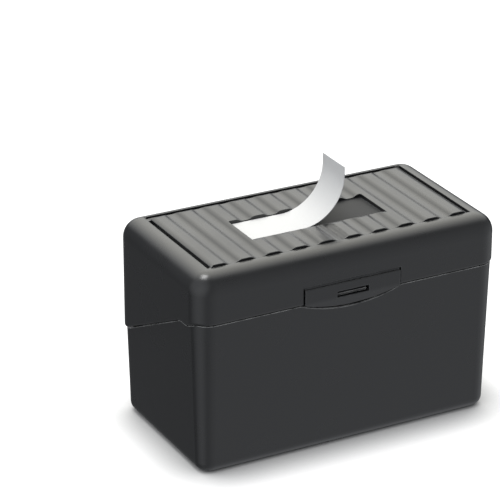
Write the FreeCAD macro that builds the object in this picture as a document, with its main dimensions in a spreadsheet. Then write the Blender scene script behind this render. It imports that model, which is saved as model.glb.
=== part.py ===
import FreeCAD, Part
import math
import os
import re
import Sketcher

# A moulded card file box: a tapered tub, a deep hinged lid with a ribbed top,
# the lid's flexing latch tongue and the paper slip in the label recess.
# X runs along the front, Y points to the back, Z points up. The origin is the
# middle of the face that the box stands on.

os.makedirs("parts", exist_ok=True)
doc = FreeCAD.newDocument("CardFileBox")

# Driving dimensions, in millimetres and degrees
SIZES = [
    ("box_width", 143.0, "lid, left to right"),
    ("box_depth", 76.0, "lid, front to back"),
    ("box_height", 90.0, "floor to the lid's flat rim"),
    ("corner_radius", 8.6, "upright corners of the lid"),
    ("top_rounding", 8.2, "long roundover of the lid's top edges"),
    ("lid_wall", 2.0, "lid side walls"),
    ("lid_top_wall", 2.0, "lid top outside the grooves"),
    ("side_overhang", 0.7, "lid stands out over the tub at the sides"),
    ("front_overhang", 0.5, "the same at the front"),
    ("back_flare", 0.3, "tub stands out behind the lid, if it reached the front rim's height"),
    ("lid_edge_rounding", 1.2, "outer lower edge of the lid"),
    ("seam_gap", 0.15, "lid edge above tub rim"),
    ("tub_wall", 2.2, "tub side walls"),
    ("tub_floor", 2.4, "tub floor"),
    ("tub_corner", 6.0, "upright corners of the tub, at its bottom"),
    ("tub_bottom_rounding", 4.5, "outer bottom edge of the tub"),
    ("tub_inner_rounding", 3.0, "inner bottom edge of the tub"),
    ("draft_angle", 1.5, "taper of the tub walls, degrees"),
    ("front_rim_height", 68.4, "tub rim at the front"),
    ("shelf_height", 65.4, "tub rim behind the front corner step"),
    ("back_rim_height", 40.2, "tub rim at the back"),
    ("step_start", 4.8, "front face to the top of the corner step"),
    ("step_end", 11.9, "front face to the foot of the corner step"),
    ("slope_start", 17.9, "front face to the start of the side slope"),
    ("slope_end", 7.4, "back face to the end of the side slope"),
    ("step_rounding", 3.5, "curves of the corner step"),
    ("slope_rounding", 3.0, "curve at the top of the side slope"),
    ("slope_foot_rounding", 6.0, "curve at its foot"),
    ("lip_height", 1.6, "locating lip above the side rims"),
    ("lip_clearance", 0.25, "lip inside the lid walls"),
    ("lip_front", 26.0, "front face to the lip's front end"),
    ("lip_back", 20.0, "back face to the lip's back end"),
    ("tongue_width", 45.0, "latch tongue"),
    ("tongue_top", 75.6, "upper edge of the tongue's face"),
    ("tongue_bottom", 64.9, "lowest point of the tongue"),
    ("tongue_thickness", 2.0, "latch tongue"),
    ("tongue_proud", 0.6, "tongue stands out from the lid"),
    ("tongue_bottom_slope", 1.2, "tongue's lower edge leans in"),
    ("tongue_curve", 6.0, "bend between its face and that slope"),
    ("tongue_edge_rounding", 0.5, "outer edges of the tongue"),
    ("smile_edge_width", 0.45, "slanted outer edge of the dip"),
    ("smile_edge_angle", 45.0, "its slant, degrees"),
    ("tongue_side_gap", 0.6, "slot beside the tongue"),
    ("flex_web", 1.0, "thin root that the tongue bends at"),
    ("flex_line_rise", 0.4, "bending line above the tongue's face"),
    ("flex_gap", 0.1, "running gap over the rounded root"),
    ("root_rounding", 0.4, "edges of that root"),
    ("window_width", 15.1, "catch window in the tongue"),
    ("window_height", 2.75, "catch window in the tongue"),
    ("window_bottom", 69.3, "lower edge of the catch window"),
    ("catch_side_gap", 0.7, "catch inside the window, each end"),
    ("catch_lift", 0.3, "catch above the window's lower edge"),
    ("catch_height", 2.1, "catch, foot to the top of its ramp"),
    ("catch_flat", 0.8, "upright face of the catch"),
    ("catch_bite", 0.6, "catch reaches into the window"),
    ("catch_lip_width", 40.0, "upstand that carries the catch"),
    ("catch_lip_top", 72.9, "top of that upstand"),
    ("catch_lip_wall", 1.2, "thickness of that upstand"),
    ("catch_lip_gap", 0.6, "upstand behind the tongue"),
    ("catch_lip_rounding", 3.0, "its upper corners"),
    ("smile_depth", 4.2, "curved dip of the rim under the tongue"),
    ("smile_width", 46.2, "the same dip, along the rim"),
    ("heel_radius", 5.1, "lid's rounded heel about the hinge"),
    ("heel_clearance", 0.6, "heel above the tub's back rim"),
    ("heel_margin", 13.5, "side face to the rolled heel"),
    ("hinge_station", 45.0, "hinge knuckles from the middle"),
    ("hinge_pin_radius", 1.5, "moulded pin"),
    ("hinge_pin_clearance", 0.06, "pin in its hook, radial"),
    ("ear_width", 4.0, "hook of the tub"),
    ("ear_radius", 2.7, "round head of the hook"),
    ("ear_mouth", 2.6, "snap-in opening of the hook"),
    ("ear_root", 5.0, "hook runs down the tub wall"),
    ("ear_slot_clearance", 0.5, "slot beside the hook, each side"),
    ("cheek_width", 2.5, "lid knuckle beside the slot"),
    ("cheek_reach", 4.0, "knuckle in front of the hinge line"),
    ("cheek_rise", 8.0, "knuckle up the lid's back wall"),
    ("slot_rise", 5.0, "slot above the hinge line"),
    ("panel_side_margin", 9.3, "side face to the ribbed field with its grooves"),
    ("panel_front_margin", 9.4, "front face to the ribbed field"),
    ("panel_back_margin", 7.6, "back face to the back groove"),
    ("groove_width", 1.6, "side and back grooves"),
    ("groove_depth", 1.6, "grooves, below the rim"),
    ("front_slit", 0.5, "narrow groove before the rib ends"),
    ("groove_land", 0.6, "bridge left at the corners of the field"),
    ("back_land", 2.6, "left groove ends before the back groove"),
    ("back_inset", 0.9, "ends of the back groove inside the field"),
    ("rib_count", 10, "number of ribs"),
    ("rib_spill", 0.55, "outer valleys run past the field"),
    ("rib_height", 1.15, "crest above valley"),
    ("valley_drop", 0.3, "valleys below the rim"),
    ("rib_curve", 4.0, "curves of the rib's crown and feet"),
    ("rib_nose_rounding", 4.0, "ribs rounded off at the back"),
    ("rib_nose_drop", 0.6, "rib noses end below the rim"),
    ("recess_width", 63.9, "label recess"),
    ("recess_left", 33.7, "its left end from the middle"),
    ("recess_length", 18.8, "label recess, front to back"),
    ("recess_back", 29.6, "back face to the recess"),
    ("recess_drop", 0.9, "recess floor below the rim"),
    ("recess_corner", 0.8, "corners of the recess"),
    ("recess_nose_rounding", 8.0, "ribs fall away in front of the recess"),
    ("recess_nose_drop", 0.1, "they end below the valleys"),
    ("backing_wall", 1.5, "ribs of plastic under grooves and recess"),
    ("label_length", 59.0, "paper slip along its surface"),
    ("label_height", 18.3, "paper slip, front to back"),
    ("label_thickness", 0.25, "stiff paper"),
    ("label_end_gap", 1.7, "slip to the recess's left end"),
    ("label_curl", 20.5, "radius of the lifted end"),
    ("label_flat", 23.0, "stretch that lies on the recess floor"),
    ("overrun", 3.0, "cuts run past the plastic"),
]

sheet = doc.addObject("Spreadsheet::Sheet", "Sizes")
for row, (alias, number, note) in enumerate(SIZES, 1):
    sheet.set("A%d" % row, note)
    sheet.set("B%d" % row, str(number))
    sheet.setAlias("B%d" % row, alias)
doc.recompute()

# Places worked out from those sizes, written with the sheet's own names
PLACES = [
    ("front_face", "tongue_proud / 2 - box_depth / 2"),
    ("back_face", "tongue_proud / 2 + box_depth / 2"),
    ("mid_depth", "tongue_proud / 2"),
    ("tub_front", "front_face + front_overhang"),
    ("lid_inside_back", "back_face - lid_wall"),
    ("lid_inside_side", "box_width / 2 - lid_wall"),
    ("tub_run", "front_rim_height * tan(draft_angle)"),
    ("tub_bottom_width", "box_width - 2 * side_overhang - 2 * tub_run"),
    ("tub_bottom_depth", "box_depth - front_overhang + back_flare - 2 * tub_run"),
    ("tub_middle", "mid_depth + (front_overhang + back_flare) / 2"),
    ("tub_cavity_shift", "tub_floor * tan(draft_angle) - tub_wall"),
    ("tub_back_at_rim",
     "back_face + back_flare - (front_rim_height - back_rim_height) * tan(draft_angle)"),
    ("pivot_y", "back_face - heel_radius"),
    ("pivot_z", "back_rim_height + heel_clearance + heel_radius"),
    ("heel_low", "pivot_z - heel_radius"),
    ("heel_half_width", "box_width / 2 - heel_margin"),
    ("slope_share", "(shelf_height - back_rim_height) / (box_depth - slope_start - slope_end)"),
    ("lip_front_y", "front_face + lip_front"),
    ("lip_back_y", "back_face - lip_back"),
    ("lip_front_z", "shelf_height - (lip_front - slope_start) * slope_share"),
    ("lip_back_z", "back_rim_height + (lip_back - slope_end) * slope_share"),
    ("lip_outside", "lid_inside_side - lip_clearance"),
    ("tongue_front", "front_face - tongue_proud"),
    ("tongue_inside", "tongue_front + tongue_thickness"),
    ("seam_height", "front_rim_height + seam_gap"),
    ("flex_z", "tongue_top + flex_line_rise"),
    ("opening_top", "flex_z + flex_web / 2 + flex_gap"),
    ("catch_lip_face", "tongue_inside + catch_lip_gap"),
    ("catch_tip", "tongue_inside - catch_bite"),
    ("catch_foot", "window_bottom + catch_lift"),
    ("smile_radius", "(smile_width * smile_width / 4 + smile_depth * smile_depth) / (2 * smile_depth)"),
    ("tongue_sag", "seam_height - tongue_bottom"),
    ("tongue_arc", "(tongue_width * tongue_width / 4 + tongue_sag * tongue_sag) / (2 * tongue_sag)"),
    ("panel_width", "box_width - 2 * panel_side_margin"),
    ("rib_pitch", "(panel_width + 2 * rib_spill) / rib_count"),
    ("panel_front_y", "front_face + panel_front_margin"),
    ("panel_back_y", "back_face - panel_back_margin"),
    ("valley_z", "box_height - valley_drop"),
    ("crest_z", "valley_z + rib_height"),
    ("field_back_y", "panel_back_y - groove_width"),
    ("groove_floor", "box_height - groove_depth"),
    ("recess_floor", "box_height - recess_drop"),
    ("recess_x", "recess_width / 2 - recess_left"),
    ("recess_back_y", "back_face - recess_back"),
    ("recess_front_y", "recess_back_y - recess_length"),
    ("recess_y", "recess_back_y - recess_length / 2"),
    ("ceiling_z", "box_height - lid_top_wall - valley_drop"),
    ("label_left", "label_end_gap - recess_left"),
    ("label_rise_x", "label_left + label_flat + label_curl"),
    ("label_upright", "label_length - label_flat - label_curl * pi / 2"),
]

# Lengths and volumes closer than this count as equal
SAME = 0.001

aliases = {alias for alias, number, note in SIZES}
places = {}


def formula(text):
    # Plain names become references to the sheet, and places their own formula
    def swap(match):
        word = match.group(0)
        if word in places:
            return places[word]
        if word in aliases:
            return "Sizes." + word
        return word
    return re.sub(r"[a-z][a-z_]+", swap, text)


for name, text in PLACES:
    places[name] = "(" + formula(text) + ")"


def value(text):
    return float(sheet.evalExpression(formula(text)))


def fit(target, prop, text):
    # A size is set once as a number and bound to the sheet
    target.setExpression(prop, formula(text))


def new_body(label):
    body = doc.addObject("PartDesign::Body", label)
    body.Label = label
    return body


def new_sketch(body, name, role, offset="0"):
    plane = [item for item in body.Origin.OriginFeatures if item.Role == role][0]
    sketch = body.newObject("Sketcher::SketchObject", name)
    sketch.AttachmentSupport = [(plane, "")]
    sketch.MapMode = "FlatFace"
    if offset != "0":
        fit(sketch, ".AttachmentOffset.Base.z", offset)
    return sketch


def bind_last(sketch, text):
    fit(sketch, "Constraints[%d]" % (sketch.ConstraintCount - 1), text)


def pin_point(sketch, geometry, end, x_text, y_text):
    # The point is held at its two distances from the sketch's origin
    for kind, text, axis in (("DistanceX", x_text, -2), ("DistanceY", y_text, -1)):
        if text == "0":
            sketch.addConstraint(Sketcher.Constraint("PointOnObject", geometry, end, axis))
        else:
            sketch.addConstraint(Sketcher.Constraint(kind, -1, 1, geometry, end, value(text)))
            bind_last(sketch, text)


def add_loop(sketch, corners):
    # A closed outline through corners (x, y) or (x, y, rounding)
    count = len(corners)
    points = [FreeCAD.Vector(value(corner[0]), value(corner[1]), 0) for corner in corners]
    arrive = []
    leave = []
    turns = []
    for index, corner in enumerate(corners):
        before = (points[index] - points[index - 1]).normalize()
        after = (points[(index + 1) % count] - points[index]).normalize()
        turn = before.x * after.y - before.y * after.x
        angle = before.getAngle(after)
        reach = value(corner[2]) * math.tan(angle / 2) if len(corner) > 2 else 0
        arrive.append(points[index] - before * reach)
        leave.append(points[index] + after * reach)
        turns.append(turn)
    lines = []
    for index in range(count):
        start = leave[index]
        end = arrive[(index + 1) % count]
        lines.append(sketch.addGeometry(Part.LineSegment(start, end), False))
    for index, corner in enumerate(corners):
        line_in = lines[index - 1]
        line_out = lines[index]
        if len(corner) == 2:
            sketch.addConstraint(Sketcher.Constraint("Coincident", line_in, 2, line_out, 1))
            pin_point(sketch, line_out, 1, corner[0], corner[1])
            continue
        radius = value(corner[2])
        chord = leave[index] - arrive[index]
        normal = FreeCAD.Vector(-chord.y, chord.x, 0).normalize()
        height = math.sqrt(max(radius ** 2 - (chord.Length / 2) ** 2, 0))
        side = 1 if turns[index] > 0 else -1
        centre = (arrive[index] + leave[index]) * 0.5 + normal * height * side
        first, last = (arrive[index], leave[index]) if side > 0 else (leave[index], arrive[index])
        angles = [math.atan2(end.y - centre.y, end.x - centre.x) for end in (first, last)]
        circle = Part.Circle(centre, FreeCAD.Vector(0, 0, 1), radius)
        arc = sketch.addGeometry(Part.ArcOfCircle(circle, angles[0], angles[1]), False)
        near, far = (1, 2) if side > 0 else (2, 1)
        sketch.addConstraint(Sketcher.Constraint("Tangent", line_in, 2, arc, near))
        sketch.addConstraint(Sketcher.Constraint("Tangent", arc, far, line_out, 1))
        sketch.addConstraint(Sketcher.Constraint("Radius", arc, radius))
        bind_last(sketch, corner[2])
        mark = sketch.addGeometry(Part.Point(points[index]), True)
        sketch.addConstraint(Sketcher.Constraint("PointOnObject", mark, 1, line_in))
        sketch.addConstraint(Sketcher.Constraint("PointOnObject", mark, 1, line_out))
        pin_point(sketch, mark, 1, corner[0], corner[1])


def add_circle(sketch, x_text, y_text, radius_text):
    centre = FreeCAD.Vector(value(x_text), value(y_text), 0)
    circle = Part.Circle(centre, FreeCAD.Vector(0, 0, 1), value(radius_text))
    ring = sketch.addGeometry(circle, False)
    pin_point(sketch, ring, 3, x_text, y_text)
    sketch.addConstraint(Sketcher.Constraint("Radius", ring, value(radius_text)))
    bind_last(sketch, radius_text)


def rectangle(x_low, y_low, x_high, y_high, rounding=None):
    corners = [(x_low, y_low), (x_high, y_low), (x_high, y_high), (x_low, y_high)]
    if rounding:
        return [corner + (rounding,) for corner in corners]
    return corners


def outline(width, depth, radius, middle="mid_depth"):
    # Rounded rectangle about a middle from front to back, seen from above
    half = "(" + width + ") / 2"
    deep = "(" + depth + ") / 2"
    return rectangle("-" + half, middle + " - " + deep, half, middle + " + " + deep, radius)


def extrude(body, kind, sketch, name, length, reversed_way=False, both=False, taper=None):
    # Adds or removes material along the sketch's normal and checks that it did
    before = body.Tip.Shape.Volume if body.Tip and not body.Tip.Shape.isNull() else 0
    feature = body.newObject("PartDesign::" + kind, name)
    feature.Profile = sketch
    if length:
        feature.Type = "Length"
        fit(feature, "Length", length)
    else:
        feature.Type = "ThroughAll"
    if both:
        feature.SideType = "Symmetric"
    feature.Reversed = reversed_way
    if taper:
        fit(feature, "TaperAngle", taper)
    sketch.Visibility = False
    body.Tip = feature
    doc.recompute()
    after = feature.Shape.Volume
    if (kind == "Pad") != (after > before) or abs(after - before) < SAME:
        raise RuntimeError(name + " changed nothing or went the wrong way")
    return feature


def edge_names(feature, test):
    names = []
    for index, edge in enumerate(feature.Shape.Edges, 1):
        if test(edge):
            names.append("Edge%d" % index)
    return names


def round_edges(body, name, radius, test):
    base = body.Tip
    chosen = edge_names(base, test)
    feature = body.newObject("PartDesign::Fillet", name)
    feature.Base = (base, chosen)
    fit(feature, "Radius", radius)
    body.Tip = feature
    doc.recompute()
    return feature


def mirror(body, name, features):
    feature = body.newObject("PartDesign::Mirrored", name)
    plane = [item for item in body.Origin.OriginFeatures if item.Role == "YZ_Plane"][0]
    feature.Originals = features
    feature.MirrorPlane = (plane, [""])
    body.Tip = feature
    doc.recompute()
    return feature


def on_wall(edge, low, high):
    # True for an edge that runs round the lid's outer walls between two heights
    corner = value("corner_radius")
    steps = [edge.valueAt(edge.FirstParameter + share * (edge.LastParameter - edge.FirstParameter))
             for share in (0, 0.5, 1)]
    if math.hypot(steps[2].x - steps[0].x, steps[2].y - steps[0].y) < SAME:
        return False
    for point in steps:
        across = max(abs(point.x) - value("box_width / 2") + corner, 0)
        along = max(abs(point.y - value("mid_depth")) - value("box_depth / 2") + corner, 0)
        if abs(math.hypot(across, along) - corner) > 10 * SAME or not low < point.z < high:
            return False
    return True


def flat_at(edge, height):
    box = edge.BoundBox
    return abs(box.ZMin - height) < SAME and abs(box.ZMax - height) < SAME


# The seam between lid and tub, seen from the side: level over the front,
# a step behind the front corner, a short shelf, a long slope and a level back
def seam_points(lift):
    up = " + " + lift
    return [
        ("front_face + step_start", "front_rim_height" + up, "step_rounding"),
        ("front_face + step_end", "shelf_height" + up, "step_rounding"),
        ("front_face + slope_start", "shelf_height" + up, "slope_rounding"),
    ]


def build_tub():
    body = new_body("base_tub")
    sketch = new_sketch(body, "TubOutline", "XY_Plane")
    add_loop(sketch, outline("tub_bottom_width", "tub_bottom_depth", "tub_corner", "tub_middle"))
    extrude(body, "Pad", sketch, "TubBlock", "front_rim_height + lip_height", taper="draft_angle")
    round_edges(body, "TubBottomEdge", "tub_bottom_rounding", lambda edge: flat_at(edge, 0))

    sketch = new_sketch(body, "TubCavityOutline", "XY_Plane", "tub_floor")
    add_loop(sketch, outline("tub_bottom_width + 2 * tub_cavity_shift",
                             "tub_bottom_depth + 2 * tub_cavity_shift",
                             "tub_corner - tub_wall", "tub_middle"))
    extrude(body, "Pocket", sketch, "TubCavity", "box_height", reversed_way=True, taper="draft_angle")
    floor_height = value("tub_floor")
    round_edges(body, "TubInnerEdge", "tub_inner_rounding", lambda edge: flat_at(edge, floor_height))

    # The rim follows the seam and leaves a locating lip on both side slopes
    sketch = new_sketch(body, "RimLine", "YZ_Plane")
    add_loop(sketch, [("front_face - overrun", "front_rim_height")] + seam_points("0") + [
        ("lip_front_y", "lip_front_z"),
        ("lip_front_y", "lip_front_z + lip_height"),
        ("lip_back_y", "lip_back_z + lip_height"),
        ("lip_back_y", "lip_back_z"),
        ("back_face - slope_end", "back_rim_height", "slope_foot_rounding"),
        ("back_face + overrun", "back_rim_height"),
        ("back_face + overrun", "box_height"),
        ("front_face - overrun", "box_height"),
    ])
    extrude(body, "Pocket", sketch, "RimCut", None, both=True)

    sketch = new_sketch(body, "LedgeLine", "YZ_Plane", "lip_outside")
    add_loop(sketch, [
        ("lip_front_y", "lip_front_z"),
        ("lip_back_y", "lip_back_z"),
        ("lip_back_y", "lip_back_z + lip_height + overrun"),
        ("lip_front_y", "lip_front_z + lip_height + overrun"),
    ])
    ledge = extrude(body, "Pocket", sketch, "LedgeCut", "tub_wall", reversed_way=True)
    mirror(body, "LedgeCutLeft", [ledge])

    # The rim dips in a curve under the latch tongue
    sketch = new_sketch(body, "SmileCircle", "XZ_Plane", "-tub_front + overrun")
    add_circle(sketch, "0", "front_rim_height - smile_depth + smile_radius", "smile_radius")
    extrude(body, "Pocket", sketch, "SmileCut", "catch_lip_face - tub_front + overrun")
    sketch = new_sketch(body, "SmileEdgeCircle", "XZ_Plane", "-tub_front")
    add_circle(sketch, "0", "front_rim_height - smile_depth + smile_radius",
               "smile_radius + smile_edge_width")
    extrude(body, "Pocket", sketch, "SmileEdge", "smile_edge_width", taper="-smile_edge_angle")

    # Upstand behind the tongue, and the ramped catch on it
    sketch = new_sketch(body, "CatchLipFace", "XZ_Plane", "-catch_lip_face")
    root = "front_rim_height - smile_depth - tub_wall"
    add_loop(sketch, [
        ("-catch_lip_width / 2", root),
        ("catch_lip_width / 2", root),
        ("catch_lip_width / 2", "catch_lip_top", "catch_lip_rounding"),
        ("-catch_lip_width / 2", "catch_lip_top", "catch_lip_rounding"),
    ])
    extrude(body, "Pad", sketch, "CatchLip", "catch_lip_wall", reversed_way=True)
    sketch = new_sketch(body, "CatchSection", "YZ_Plane")
    add_loop(sketch, [
        ("catch_lip_face", "catch_foot"),
        ("catch_lip_face", "catch_foot + catch_height"),
        ("catch_tip", "catch_foot + catch_flat"),
        ("catch_tip", "catch_foot"),
    ])
    extrude(body, "Pad", sketch, "Catch", "window_width - 2 * catch_side_gap", both=True)

    # Hinge hook: a round head on a gusset of the back wall, open to the front
    sketch = new_sketch(body, "EarSection", "YZ_Plane", "hinge_station - ear_width / 2")
    add_loop(sketch, [
        ("tub_back_at_rim - tub_wall / 2", "back_rim_height - ear_root - tub_wall"),
        ("tub_back_at_rim - lip_clearance", "back_rim_height - tub_wall"),
        ("tub_back_at_rim - lip_clearance", "back_rim_height + lip_height"),
        ("pivot_y + ear_radius", "pivot_z"),
        ("pivot_y - ear_radius", "pivot_z"),
        ("pivot_y - ear_radius", "back_rim_height"),
    ])
    gusset = extrude(body, "Pad", sketch, "EarGusset", "ear_width")
    sketch = new_sketch(body, "EarHeadCircle", "YZ_Plane", "hinge_station - ear_width / 2")
    add_circle(sketch, "pivot_y", "pivot_z", "ear_radius")
    head = extrude(body, "Pad", sketch, "EarHead", "ear_width")
    sketch = new_sketch(body, "EarHoleCircle", "YZ_Plane", "hinge_station - ear_width / 2 - overrun")
    add_circle(sketch, "pivot_y", "pivot_z", "hinge_pin_radius + hinge_pin_clearance")
    hole = extrude(body, "Pocket", sketch, "EarHole", "ear_width + 2 * overrun", reversed_way=True)
    sketch = new_sketch(body, "EarMouthBox", "YZ_Plane", "hinge_station - ear_width / 2 - overrun")
    add_loop(sketch, rectangle("pivot_y - ear_radius - overrun", "pivot_z - ear_mouth / 2",
                               "pivot_y", "pivot_z + ear_mouth / 2"))
    mouth = extrude(body, "Pocket", sketch, "EarMouth", "ear_width + 2 * overrun", reversed_way=True)
    mirror(body, "EarLeft", [gusset, head, hole, mouth])
    return body


def build_lid():
    body = new_body("lid_shell")
    sketch = new_sketch(body, "LidOutline", "XY_Plane", "heel_low")
    add_loop(sketch, outline("box_width", "box_depth", "corner_radius"))
    extrude(body, "Pad", sketch, "LidBlock", "box_height - heel_low")
    sketch = new_sketch(body, "LidCavityOutline", "XY_Plane", "heel_low")
    add_loop(sketch, outline("box_width - 2 * lid_wall", "box_depth - 2 * lid_wall",
                             "corner_radius - lid_wall"))
    extrude(body, "Pocket", sketch, "LidCavity", "ceiling_z - heel_low", reversed_way=True)
    ceiling = value("ceiling_z")
    round_edges(body, "LidInnerEdge", "top_rounding - lid_wall", lambda edge: flat_at(edge, ceiling))
    top = value("box_height")
    round_edges(body, "LidTopEdge", "top_rounding", lambda edge: flat_at(edge, top))

    # Lower edge along the seam
    sketch = new_sketch(body, "SeamLine", "YZ_Plane")
    add_loop(sketch, [
        ("front_face - overrun", "heel_low - overrun"),
        ("front_face - overrun", "seam_height"),
    ] + seam_points("seam_gap") + [
        ("back_face - slope_end", "heel_low", "slope_foot_rounding"),
        ("back_face + overrun", "heel_low"),
        ("back_face + overrun", "heel_low - overrun"),
    ])
    extrude(body, "Pocket", sketch, "SeamCut", None, both=True)
    highest = value("seam_height + seam_gap")
    round_edges(body, "LidLowerEdge", "lid_edge_rounding", lambda edge: on_wall(edge, 0, highest))

    # Heel strip that rolls in under the hinge line
    sketch = new_sketch(body, "HeelBlock", "YZ_Plane")
    add_loop(sketch, rectangle("pivot_y", "heel_low", "lid_inside_back + lid_wall / 2", "pivot_z"))
    extrude(body, "Pad", sketch, "Heel", "2 * heel_half_width", both=True)
    sketch = new_sketch(body, "HeelBoreCircle", "YZ_Plane")
    add_circle(sketch, "pivot_y", "pivot_z", "heel_radius - lid_wall")
    extrude(body, "Pocket", sketch, "HeelBore", "2 * heel_half_width + overrun", both=True)

    # Hinge knuckle: two cheeks, the slot for the tub's hook and the pin across it
    half_slot = "(ear_width / 2 + ear_slot_clearance)"
    sketch = new_sketch(body, "CheekSection", "YZ_Plane",
                        "hinge_station - " + half_slot + " - cheek_width")
    add_loop(sketch, [
        ("pivot_y - cheek_reach", "heel_low", "cheek_reach"),
        ("lid_inside_back + lid_wall / 2", "heel_low"),
        ("lid_inside_back + lid_wall / 2", "pivot_z + cheek_rise"),
        ("pivot_y - cheek_reach", "pivot_z + cheek_rise / 4"),
    ])
    cheek = extrude(body, "Pad", sketch, "Cheeks", "2 * " + half_slot + " + 2 * cheek_width")
    sketch = new_sketch(body, "SlotSection", "YZ_Plane", "hinge_station - " + half_slot)
    add_loop(sketch, rectangle("pivot_y - cheek_reach - overrun", "heel_low - overrun",
                               "back_face + overrun", "pivot_z + slot_rise"))
    slot = extrude(body, "Pocket", sketch, "HookSlot", "2 * " + half_slot, reversed_way=True)
    sketch = new_sketch(body, "PinCircle", "YZ_Plane", "hinge_station - " + half_slot + " - cheek_width / 2")
    add_circle(sketch, "pivot_y", "pivot_z", "hinge_pin_radius")
    pin = extrude(body, "Pad", sketch, "HingePin", "2 * " + half_slot + " + cheek_width")
    mirror(body, "KnuckleLeft", [cheek, slot, pin])

    # The back edge rolls round the hinge line
    sketch = new_sketch(body, "HeelLine", "YZ_Plane")
    add_loop(sketch, [
        ("pivot_y - seam_gap", "heel_low - overrun"),
        ("pivot_y - seam_gap", "heel_low"),
        ("back_face", "heel_low", "heel_radius"),
        ("back_face", "pivot_z + seam_gap"),
        ("back_face + overrun", "pivot_z + seam_gap"),
        ("back_face + overrun", "heel_low - overrun"),
    ])
    extrude(body, "Pocket", sketch, "HeelCut", None, both=True)

    # Opening for the latch tongue
    sketch = new_sketch(body, "TongueOpening", "XZ_Plane", "-front_face + overrun")
    half_opening = "(tongue_width / 2 + tongue_side_gap)"
    add_loop(sketch, rectangle("-" + half_opening, "front_rim_height - overrun",
                               half_opening, "opening_top"))
    extrude(body, "Pocket", sketch, "TongueOpeningCut", "lid_wall + 2 * overrun")

    # Plastic under the grooves and the label recess, so that the top keeps its thickness
    sketch = new_sketch(body, "BackingFrame", "XY_Plane", "groove_floor - backing_wall")
    spare = "(groove_width + backing_wall)"
    add_loop(sketch, rectangle("-panel_width / 2 - backing_wall", "panel_front_y - backing_wall",
                               "panel_width / 2 + backing_wall", "panel_back_y + backing_wall"))
    add_loop(sketch, rectangle("-panel_width / 2 + " + spare, "panel_front_y + " + spare,
                               "panel_width / 2 - " + spare, "panel_back_y - " + spare))
    extrude(body, "Pad", sketch, "Backing", "ceiling_z + lid_top_wall / 2 - groove_floor + backing_wall")

    # Ribbed field: a shallow tray, the ribs, and their noses rounded off at the back
    sketch = new_sketch(body, "TrayOutline", "XY_Plane", "box_height + overrun")
    add_loop(sketch, rectangle("-panel_width / 2", "panel_front_y", "panel_width / 2", "panel_back_y"))
    extrude(body, "Pocket", sketch, "Tray", "overrun + valley_drop")
    sketch = new_sketch(body, "RibSection", "XZ_Plane", "-panel_front_y")
    # Each rib rises over its left flank, runs level and falls off to the right
    rib_shares = [(0, 0), (0.10, 0), (0.27, 1), (0.66, 1), (0.835, 0), (0.945, 0)]
    first = "(-rib_pitch * rib_count / 2)"
    corners = [("%s + rib_pitch * %g" % (first, rib_shares[0][0]), "valley_z - valley_drop"),
               ("%s + rib_pitch * %g" % (first, rib_shares[-1][0]), "valley_z - valley_drop")]
    for along_share, up_share in reversed(rib_shares):
        place = ("%s + rib_pitch * %g" % (first, along_share), "valley_z + rib_height * %g" % up_share)
        if rib_shares[0][0] < along_share < rib_shares[-1][0]:
            place = place + ("rib_curve",)
        corners.append(place)
    add_loop(sketch, corners)
    rib = extrude(body, "Pad", sketch, "Rib", "panel_back_y - panel_front_y", reversed_way=True)
    pattern = body.newObject("PartDesign::LinearPattern", "Ribs")
    pattern.Originals = [rib]
    pattern.Direction = ([item for item in body.Origin.OriginFeatures if item.Role == "X_Axis"][0], [""])
    pattern.Mode = "Spacing"
    fit(pattern, "Offset", "rib_pitch")
    fit(pattern, "Occurrences", "rib_count")
    body.Tip = pattern
    doc.recompute()

    # The ribs are rounded off before the back groove and before the recess
    sketch = new_sketch(body, "NoseLine", "YZ_Plane")
    add_nose(sketch, "field_back_y", "rib_nose_rounding", "(crest_z - box_height + rib_nose_drop)")
    extrude(body, "Pocket", sketch, "RibNoses", "panel_width", both=True)
    sketch = new_sketch(body, "RecessNoseLine", "YZ_Plane", "recess_x")
    add_nose(sketch, "recess_front_y", "recess_nose_rounding", "(rib_height + recess_nose_drop)")
    extrude(body, "Pocket", sketch, "RecessNoses", "recess_width", both=True)

    # Grooves round the field, with a bridge left at each corner
    sketch = new_sketch(body, "GrooveOutlines", "XY_Plane", "crest_z + overrun")
    land = "groove_land"
    side = "(panel_width / 2)"
    add_loop(sketch, rectangle("-" + side, "panel_front_y + " + land,
                               "-%s + groove_width" % side, "field_back_y - back_land"))
    add_loop(sketch, rectangle(side + " - groove_width", "panel_front_y + " + land,
                               side, "panel_back_y - " + land))
    add_loop(sketch, rectangle("-%s + back_inset" % side, "field_back_y",
                               side + " - groove_width - back_inset", "panel_back_y"))
    add_loop(sketch, rectangle("-%s + %s + groove_width" % (side, land), "panel_front_y",
                               "%s - %s - groove_width" % (side, land), "panel_front_y + front_slit"))
    extrude(body, "Pocket", sketch, "Grooves", "crest_z + overrun - groove_floor")

    sketch = new_sketch(body, "RecessOutline", "XY_Plane", "crest_z + overrun")
    add_loop(sketch, rectangle("-recess_left", "recess_front_y",
                               "recess_width - recess_left", "recess_back_y", "recess_corner"))
    extrude(body, "Pocket", sketch, "LabelRecess", "crest_z + overrun - recess_floor")
    return body


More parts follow.
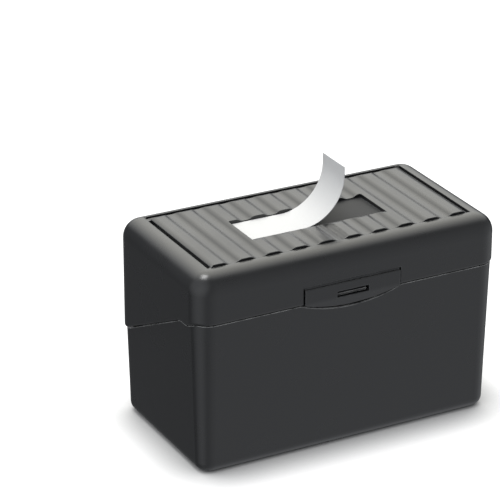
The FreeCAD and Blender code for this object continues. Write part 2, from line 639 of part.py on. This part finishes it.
def add_nose(sketch, end_y, rounding, drop):
    # Region above a round that takes the rib tops down to one straight edge
    run = "sqrt(%s * %s - (%s - %s) * (%s - %s))" % (rounding, rounding, rounding, drop, rounding, drop)
    start = FreeCAD.Vector(value(end_y + " - " + run), value("crest_z"), 0)
    end = FreeCAD.Vector(value(end_y), value("crest_z - " + drop), 0)
    radius = value(rounding)
    centre = start - FreeCAD.Vector(0, radius, 0)
    circle = Part.Circle(centre, FreeCAD.Vector(0, 0, 1), radius)
    arc = sketch.addGeometry(Part.ArcOfCircle(circle, math.atan2(end.y - centre.y, end.x - centre.x),
                                              math.pi / 2), False)
    over = value("overrun")
    groove = value("groove_width / 2")
    corners = [end, end + FreeCAD.Vector(groove, 0, 0), end + FreeCAD.Vector(groove, over, 0),
               FreeCAD.Vector(start.x, end.y + over, 0), start]
    lines = [sketch.addGeometry(Part.LineSegment(corners[i], corners[i + 1]), False) for i in range(4)]
    for i in range(3):
        sketch.addConstraint(Sketcher.Constraint("Coincident", lines[i], 2, lines[i + 1], 1))
    sketch.addConstraint(Sketcher.Constraint("Coincident", arc, 1, lines[0], 1))
    sketch.addConstraint(Sketcher.Constraint("Coincident", arc, 2, lines[3], 2))
    pin_point(sketch, lines[0], 1, end_y, "crest_z - " + drop)
    pin_point(sketch, lines[1], 1, end_y + " + groove_width / 2", "crest_z - " + drop)
    pin_point(sketch, lines[2], 1, end_y + " + groove_width / 2", "crest_z - " + drop + " + overrun")
    pin_point(sketch, lines[3], 1, end_y + " - " + run, "crest_z - " + drop + " + overrun")
    sketch.addConstraint(Sketcher.Constraint("Vertical", lines[3]))
    sketch.addConstraint(Sketcher.Constraint("Radius", arc, radius))
    bind_last(sketch, rounding)
    sketch.addConstraint(Sketcher.Constraint("DistanceX", -1, 1, arc, 3, centre.x))
    bind_last(sketch, end_y + " - " + run)


def build_tongue():
    body = new_body("latch_tongue")
    sketch = new_sketch(body, "TongueSection", "YZ_Plane")
    add_loop(sketch, [
        ("tongue_inside", "tongue_bottom"),
        ("tongue_inside", "flex_z + flex_web / 2", "root_rounding"),
        ("tongue_inside - flex_web", "flex_z + flex_web / 2", "root_rounding"),
        ("tongue_inside - flex_web", "tongue_top"),
        ("tongue_front", "tongue_top", "tongue_edge_rounding"),
        ("tongue_front", "window_bottom", "tongue_curve"),
        ("tongue_front + tongue_bottom_slope", "tongue_bottom"),
    ])
    extrude(body, "Pad", sketch, "TonguePlate", "tongue_width", both=True)

    # Everything below a shallow arc is cut away
    sketch = new_sketch(body, "TongueArc", "XZ_Plane", "-tongue_front + overrun")
    add_tongue_arc(sketch)
    extrude(body, "Pocket", sketch, "TongueArcCut", "tongue_thickness + 2 * overrun")

    sketch = new_sketch(body, "WindowOutline", "XZ_Plane", "-tongue_front + overrun")
    add_loop(sketch, rectangle("-window_width / 2", "window_bottom",
                               "window_width / 2", "window_bottom + window_height"))
    extrude(body, "Pocket", sketch, "Window", "tongue_thickness + 2 * overrun")
    return body


def add_tongue_arc(sketch):
    # Region under the arc from one lower corner of the tongue to the other
    half = "(tongue_width / 2)"
    low = "(tongue_bottom - overrun)"
    left = FreeCAD.Vector(value("-" + half), value("seam_height"), 0)
    right = FreeCAD.Vector(value(half), value("seam_height"), 0)
    bottom = FreeCAD.Vector(0, value("tongue_bottom"), 0)
    arc = sketch.addGeometry(Part.Arc(left, bottom, right), False)
    floor = value(low)
    ends = [right, FreeCAD.Vector(right.x, floor, 0), FreeCAD.Vector(left.x, floor, 0), left]
    lines = [sketch.addGeometry(Part.LineSegment(ends[i], ends[i + 1]), False) for i in range(3)]
    for i in range(2):
        sketch.addConstraint(Sketcher.Constraint("Coincident", lines[i], 2, lines[i + 1], 1))
    right_end = 1 if sketch.getPoint(arc, 1).x > 0 else 2
    sketch.addConstraint(Sketcher.Constraint("Coincident", arc, right_end, lines[0], 1))
    sketch.addConstraint(Sketcher.Constraint("Coincident", arc, 3 - right_end, lines[2], 2))
    pin_point(sketch, lines[0], 1, half, "seam_height")
    pin_point(sketch, lines[1], 1, half, low)
    pin_point(sketch, lines[2], 1, "-" + half, low)
    sketch.addConstraint(Sketcher.Constraint("Vertical", lines[2]))
    sketch.addConstraint(Sketcher.Constraint("PointOnObject", arc, 3, -2))
    sketch.addConstraint(Sketcher.Constraint("Radius", arc, value("tongue_arc")))
    bind_last(sketch, "tongue_arc")


def build_label():
    body = new_body("label_slip")
    sketch = new_sketch(body, "SlipSection", "XZ_Plane", "-recess_y")
    top = "recess_floor + label_curl + label_upright"
    add_loop(sketch, [
        ("label_left", "recess_floor"),
        ("label_rise_x", "recess_floor", "label_curl"),
        ("label_rise_x", top),
        ("label_rise_x - label_thickness", top),
        ("label_rise_x - label_thickness", "recess_floor + label_thickness",
         "label_curl - label_thickness"),
        ("label_left", "recess_floor + label_thickness"),
    ])
    extrude(body, "Pad", sketch, "Slip", "label_height", both=True)
    return body


bodies = [build_tub(), build_lid(), build_tongue(), build_label()]
doc.recompute()

for item in doc.Objects:
    if "Invalid" in item.State or "Error" in item.State:
        raise RuntimeError(item.Name + " failed")
for body in bodies:
    shape = body.Shape
    if shape.isNull() or not shape.isValid() or len(shape.Solids) != 1:
        raise RuntimeError(body.Label + " is not one valid solid")
    print(body.Label, "volume", round(shape.Volume), "box", shape.BoundBox)
    shape.exportStep("parts/%s.step" % body.Label)
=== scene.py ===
import bpy
import math
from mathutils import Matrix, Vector

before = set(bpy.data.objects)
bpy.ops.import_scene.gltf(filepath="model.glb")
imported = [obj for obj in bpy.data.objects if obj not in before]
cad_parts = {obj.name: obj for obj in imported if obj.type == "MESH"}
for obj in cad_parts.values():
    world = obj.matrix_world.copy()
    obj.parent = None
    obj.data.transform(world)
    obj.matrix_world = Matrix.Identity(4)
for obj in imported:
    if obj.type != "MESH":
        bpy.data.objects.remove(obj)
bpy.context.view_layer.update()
millimetre = 0.001


def addNode(tree, kind, wires=(), **settings):
    # Each wire names a socket and what feeds it: another socket or a plain value
    node = tree.nodes.new(kind)
    for name, value in settings.items():
        setattr(node, name, value)
    for socket, source in wires:
        if hasattr(source, "is_linked"):
            tree.links.new(source, node.inputs[socket])
        else:
            node.inputs[socket].default_value = source
    return node


def addNoise(tree, place, scale, detail, roughness=0.5):
    node = addNode(tree, "ShaderNodeTexNoise", [
        ("Vector", place), ("Scale", scale), ("Detail", detail), ("Roughness", roughness)])
    return node.outputs["Fac"]


def addRange(tree, source, span, target=(0.0, 1.0)):
    node = addNode(tree, "ShaderNodeMapRange", [
        ("Value", source), ("From Min", span[0]), ("From Max", span[1]),
        ("To Min", target[0]), ("To Max", target[1])])
    return node.outputs["Result"]


def addMath(tree, operation, *sources):
    return addNode(tree, "ShaderNodeMath", enumerate(sources), operation=operation).outputs[0]


def addVectorMath(tree, operation, *sources):
    return addNode(tree, "ShaderNodeVectorMath", enumerate(sources), operation=operation)


def mixValues(tree, share, first, second):
    wires = [(0, share), (2, first), (3, second)]
    return addNode(tree, "ShaderNodeMix", wires, data_type="FLOAT").outputs[0]


def mixTones(tree, share, first, second):
    wires = [(0, share), (6, first), (7, second)]
    return addNode(tree, "ShaderNodeMix", wires, data_type="RGBA").outputs[2]


def opaque(tone):
    return (*tone, 1)


def objectPlace(tree):
    return addNode(tree, "ShaderNodeTexCoord").outputs["Object"]


def openGroup(name, inputs, result, kind="NodeSocketFloat"):
    # A node group with one number as its result; each material gives its inputs their values
    group = bpy.data.node_groups.new(name, "ShaderNodeTree")
    for label in inputs:
        group.interface.new_socket(label, in_out="INPUT", socket_type=kind)
    group.interface.new_socket(result, in_out="OUTPUT", socket_type="NodeSocketFloat")
    entry = group.nodes.new("NodeGroupInput")
    leave = group.nodes.new("NodeGroupOutput")
    return group, entry.outputs, leave.inputs[result]


def useGroup(tree, group, values):
    node = tree.nodes.new("ShaderNodeGroup")
    node.node_tree = group
    for label, value in values.items():
        node.inputs[label].default_value = value
    return node.outputs[0]


def openMaterial(name):
    material = bpy.data.materials.new(name)
    material.use_nodes = True
    tree = material.node_tree
    return material, tree, tree.nodes["Principled BSDF"]


def dress(node, material):
    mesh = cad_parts[node].data
    mesh.materials.clear()
    mesh.materials.append(material)


# Scales of patterns are in 1/m, lengths in m
plastic = {
    "tone": (0.0095, 0.0098, 0.0104),
    # Edge tones: the lid's edges are real rubbed wear, a little paler than the plastic
    "wearAndHighlightTone": (0.06, 0.061, 0.062),
    "rimHighlightTone": (0.42, 0.42, 0.41),  # painted highlight: the tub's edges are painted pale grey for the light its rim catches just below the lid's seam
    "dustTone": (0.16, 0.16, 0.155),
    "roughness": (0.25, 0.33),          # glossiest and dullest patches
    "patches": (34.0, 3.0),             # scale and detail of those patches
    "patchSpan": (0.3, 0.7),            # noise values where they start and are full
    "grain": (2.0, 0.6),                # detail and roughness of the fine moulded texture
    "grainScale": 2600.0,
    "peelDetail": 1.0,
    "peelScale": 190.0,                 # slow orange peel under the grain
    "peelShare": 0.4,
    "grainStrength": 0.02,
    "grainHeight": 0.001,
    "edgeReach": 0.0006,                # how far the lid's wear and the tub's painted highlight creep from an edge
    "edgeSpan": (0.995, 0.90),          # cosines where the wear and the painted highlight start and are full
    "wearAndHighlightNoise": (4.0, 0.65),           # detail and roughness of the gaps in it
    "wearAndHighlightScale": 160.0,
    "wearAndHighlightSpan": (0.30, 0.56),
    "dustAmount": 0.05,
    "dustSlope": (0.5, 1.0),            # how far a face looks up where dust starts and is full
    "dustNoise": (5.0, 0.6),            # detail and roughness of its patches
    "dustScale": 28.0,
    "edgeRounding": 0.0005,             # soft moulded edges
    "edgeSamples": 6,
    "recessMiddle": (-0.00175, -0.0007, 0.0891),
    "recessReach": (0.0319, 0.0094, 0.0002),
    "recessRoughness": 0.76,            # the label recess is duller
}


def makeGrainGroup():
    # Height of a moulded surface: fine spark texture over a slow orange peel
    group, entry, height = openGroup(
        "mouldedGrain", ("Grain Scale", "Peel Scale", "Peel Share"), "Height")
    place = objectPlace(group)
    fine = addNoise(group, place, entry["Grain Scale"], *plastic["grain"])
    slow = addNoise(group, place, entry["Peel Scale"], plastic["peelDetail"])
    group.links.new(mixValues(group, entry["Peel Share"], fine, slow), height)
    return group


def makeWearAndHighlightGroup():
    # Mask of edges, rubbed wear on the lid and a painted highlight on the tub: where a rounded normal
    # leaves the true one, broken up by noise
    group, entry, mask = openGroup("edgeWearAndHighlight", ("Reach", "Break Scale"), "Mask")
    place = objectPlace(group)
    rounded = addNode(group, "ShaderNodeBevel", [("Radius", entry["Reach"])],
                      samples=plastic["edgeSamples"])
    true = addNode(group, "ShaderNodeNewGeometry").outputs["Normal"]
    apart = addVectorMath(group, "DOT_PRODUCT", rounded.outputs["Normal"], true)
    edge = addRange(group, apart.outputs["Value"], plastic["edgeSpan"])
    noise = addNoise(group, place, entry["Break Scale"], *plastic["wearAndHighlightNoise"])
    broken = addRange(group, noise, plastic["wearAndHighlightSpan"])
    group.links.new(addMath(group, "MULTIPLY", edge, broken), mask)
    return group


def makeDustGroup():
    # Mask of settled dust: faces that look up, in soft patches
    group, entry, mask = openGroup("settledDust", ("Amount", "Patch Scale"), "Mask")
    place = objectPlace(group)
    normal = addNode(group, "ShaderNodeNewGeometry").outputs["Normal"]
    parts = addNode(group, "ShaderNodeSeparateXYZ", [(0, normal)])
    up = addRange(group, parts.outputs["Z"], plastic["dustSlope"])
    patches = addNoise(group, place, entry["Patch Scale"], *plastic["dustNoise"])
    both = addMath(group, "MULTIPLY", up, patches)
    group.links.new(addMath(group, "MULTIPLY", both, entry["Amount"]), mask)
    return group


def makeRecessGroup():
    # Mask of the label recess's flat floor: inside its reach on all three axes
    group, entry, mask = openGroup("recessFloor", ("Middle", "Reach"), "Mask", "NodeSocketVector")
    moved = addVectorMath(group, "SUBTRACT", objectPlace(group), entry["Middle"])
    share = addVectorMath(group, "DIVIDE", moved.outputs[0], entry["Reach"])
    size = addVectorMath(group, "ABSOLUTE", share.outputs[0])
    parts = addNode(group, "ShaderNodeSeparateXYZ", [(0, size.outputs[0])]).outputs
    flat = addMath(group, "MAXIMUM", parts["X"], parts["Y"])
    most = addMath(group, "MAXIMUM", flat, parts["Z"])
    group.links.new(addMath(group, "LESS_THAN", most, 1.0), mask)
    return group


def makePlastic(name, wearAndHighlightTone):
    material, tree, shader = openMaterial(name)
    wearAndHighlight = useGroup(tree, groups["wearAndHighlight"], {
        "Reach": plastic["edgeReach"], "Break Scale": plastic["wearAndHighlightScale"]})
    dust = useGroup(tree, groups["dust"], {
        "Amount": plastic["dustAmount"], "Patch Scale": plastic["dustScale"]})
    grain = useGroup(tree, groups["grain"], {
        "Grain Scale": plastic["grainScale"], "Peel Scale": plastic["peelScale"],
        "Peel Share": plastic["peelShare"]})
    recess = useGroup(tree, groups["recess"], {
        "Middle": plastic["recessMiddle"], "Reach": plastic["recessReach"]})

    # Edges take the edge tone: rubbed wear on the lid, a painted highlight on the tub
    wornAndHighlighted = mixTones(tree, wearAndHighlight, opaque(plastic["tone"]), opaque(wearAndHighlightTone))
    dusty = mixTones(tree, dust, wornAndHighlighted, opaque(plastic["dustTone"]))
    tree.links.new(dusty, shader.inputs["Base Color"])

    patches = addNoise(tree, objectPlace(tree), *plastic["patches"])
    rough = addRange(tree, patches, plastic["patchSpan"], plastic["roughness"])
    finish = mixValues(tree, recess, rough, plastic["recessRoughness"])
    tree.links.new(finish, shader.inputs["Roughness"])

    soft = addNode(tree, "ShaderNodeBevel", [("Radius", plastic["edgeRounding"])],
                   samples=plastic["edgeSamples"])
    bump = addNode(tree, "ShaderNodeBump", [
        ("Height", grain), ("Normal", soft.outputs["Normal"]),
        ("Strength", plastic["grainStrength"]), ("Distance", plastic["grainHeight"])])
    tree.links.new(bump.outputs["Normal"], shader.inputs["Normal"])
    return material


paper = {
    "tone": (0.50, 0.50, 0.497),
    "fibreTone": (0.44, 0.44, 0.43),
    "fibres": (900.0, 5.0, 0.7),        # scale in 1/m, detail and roughness of the noise
    "fibreSpan": (0.52, 0.8),           # noise values where fibres start and are full
    "fibreShare": (0.0, 0.35),
    "roughness": (0.55, 0.72),
    "roughnessSpan": (0.0, 1.0),
    "fibreStrength": 0.05,
    "fibreHeight": 0.0005,              # m
}


def makePaper():
    material, tree, shader = openMaterial("labelPaper")
    fibres = addNoise(tree, objectPlace(tree), *paper["fibres"])
    share = addRange(tree, fibres, paper["fibreSpan"], paper["fibreShare"])
    tone = mixTones(tree, share, opaque(paper["tone"]), opaque(paper["fibreTone"]))
    tree.links.new(tone, shader.inputs["Base Color"])
    rough = addRange(tree, fibres, paper["roughnessSpan"], paper["roughness"])
    tree.links.new(rough, shader.inputs["Roughness"])
    bump = addNode(tree, "ShaderNodeBump", [
        ("Height", fibres), ("Strength", paper["fibreStrength"]),
        ("Distance", paper["fibreHeight"])])
    tree.links.new(bump.outputs["Normal"], shader.inputs["Normal"])
    return material


groups = {"grain": makeGrainGroup(), "wearAndHighlight": makeWearAndHighlightGroup(), "dust": makeDustGroup(),
          "recess": makeRecessGroup()}
lidPlastic = makePlastic("blackLidPlastic", plastic["wearAndHighlightTone"])
for node in ("lid_shell", "latch_tongue"):
    dress(node, lidPlastic)
dress("base_tub", makePlastic("blackTubPlastic", plastic["rimHighlightTone"]))
dress("label_slip", makePaper())
print("stage: materials on the box")

table = {
    "tone": (0.26, 0.26, 0.26),
    "roughness": 0.9,
    "shine": 0.1,
    "glow": 0.88,                       # the floor is a light table
    "shadow": (0.02, 2.0),              # reach in m and depth of the painted soft shadow under the box
    "shadowSamples": 16,
    "size": 9.0,                        # m
}


def makeFloor():
    bpy.ops.object.select_all(action="DESELECT")
    bpy.ops.mesh.primitive_plane_add(size=table["size"])
    floor = bpy.context.object
    floor.name = "floor"
    material, tree, shader = openMaterial("paleFloor")
    shader.inputs["Base Color"].default_value = opaque(table["tone"])
    shader.inputs["Roughness"].default_value = table["roughness"]
    shader.inputs["Specular IOR Level"].default_value = table["shine"]
    shader.inputs["Emission Strength"].default_value = table["glow"]
    reach, depth = table["shadow"]
    # Painted shadow: the floor's glow is darkened by ambient occlusion where the box stands close
    clear = addNode(tree, "ShaderNodeAmbientOcclusion", [("Distance", reach)],
                    samples=table["shadowSamples"])
    paintedShadow = addMath(tree, "POWER", clear.outputs["AO"], depth)
    tree.links.new(paintedShadow, shader.inputs["Emission Color"])
    floor.visible_glossy = False        # the box mirrors the low studio light, not the table
    floor.visible_diffuse = False
    floor.data.materials.append(material)


# Each glow of the sky: strength, degrees right of the back and up,
# and the cosines where it starts and is full
sky = {
    "darkest": 0.06,                    # light where no glow reaches
    "glows": {
        "key": (2.85, (27, 51), (0.585, 0.97)),
        "fill": (0.43, (175, -25), (-0.35, 0.45)),
        "low": (0.28, (130, -28), (0.32, 0.85)),
        "side": (1.0, (-98, 22), (0.36, 0.95)),
        "rear": (0.11, (-15, -26), (0.75, 0.97)),
    },
    "coolTint": (0.965, 0.99, 1.03),
    "warmTint": (1.03, 1.02, 0.95),     # of the key glow
    "backdrop": 1.2,                    # plain white behind the box
}


def addGlow(tree, place, glow, total):
    strength, (turn, rise), span = glow
    turn, rise = math.radians(turn), math.radians(rise)
    aim = (math.sin(turn) * math.cos(rise), math.cos(turn) * math.cos(rise), math.sin(rise))
    apart = addVectorMath(tree, "DOT_PRODUCT", place, aim)
    spread = addRange(tree, apart.outputs["Value"], span)
    return addMath(tree, "MULTIPLY_ADD", spread, strength, total), spread


def makeWorld():
    world = bpy.data.worlds.new("studioWorld")
    bpy.context.scene.world = world
    world.use_nodes = True
    tree = world.node_tree
    place = addNode(tree, "ShaderNodeTexCoord").outputs["Generated"]
    total = sky["darkest"]
    spreads = {}
    for name, glow in sky["glows"].items():
        total, spreads[name] = addGlow(tree, place, glow, total)
    tint = mixTones(tree, spreads["key"], opaque(sky["coolTint"]), opaque(sky["warmTint"]))
    seen = addNode(tree, "ShaderNodeLightPath").outputs["Is Camera Ray"]
    strength = mixValues(tree, seen, total, sky["backdrop"])
    background = tree.nodes["Background"]
    tree.links.new(strength, background.inputs["Strength"])
    tree.links.new(tint, background.inputs["Color"])
    bpy.context.scene.view_settings.view_transform = "Standard"


softbox = {
    "power": 9.0,                       # W
    "size": (0.5, 0.5),                 # m
    "place": (-0.20, 0.22, 1.25),       # m
    "aim": (0.0, 0.0, 0.05),            # m, what it points at
}


def makeSoftbox():
    light = bpy.data.lights.new("softbox", "AREA")
    light.shape = "RECTANGLE"
    light.size, light.size_y = softbox["size"]
    light.energy = softbox["power"]
    lamp = bpy.data.objects.new("softbox", light)
    bpy.context.scene.collection.objects.link(lamp)
    lamp.location = softbox["place"]
    aim = Vector(softbox["aim"]) - Vector(softbox["place"])
    lamp.rotation_euler = aim.to_track_quat("-Z", "Y").to_euler()


view = {
    "aim": (-8.9, 35.9, 61.9),          # mm, what the middle of the picture looks at
    "azimuth": -27.9,                   # degrees, seen from the front left
    "elevation": 24.0,
    "distance": 1184.8,                 # mm
    "lens": 196.7,                      # mm
    "sensor": 36,                       # mm
    "nearest": 0.05,                    # m
}


def makeCamera():
    turn, rise = math.radians(view["azimuth"]), math.radians(view["elevation"])
    away = Vector((math.sin(turn) * math.cos(rise), -math.cos(turn) * math.cos(rise), math.sin(rise)))
    data = bpy.data.cameras.new("camera")
    data.lens = view["lens"]
    data.sensor_width = view["sensor"]
    data.clip_start = view["nearest"]
    camera = bpy.data.objects.new("camera", data)
    bpy.context.scene.collection.objects.link(camera)
    camera.location = Vector(view["aim"]) * millimetre + away * view["distance"] * millimetre
    camera.rotation_euler = (-away).to_track_quat("-Z", "Y").to_euler()
    bpy.context.scene.camera = camera


makeFloor()
makeWorld()
makeSoftbox()
makeCamera()
print("stage: studio and camera")
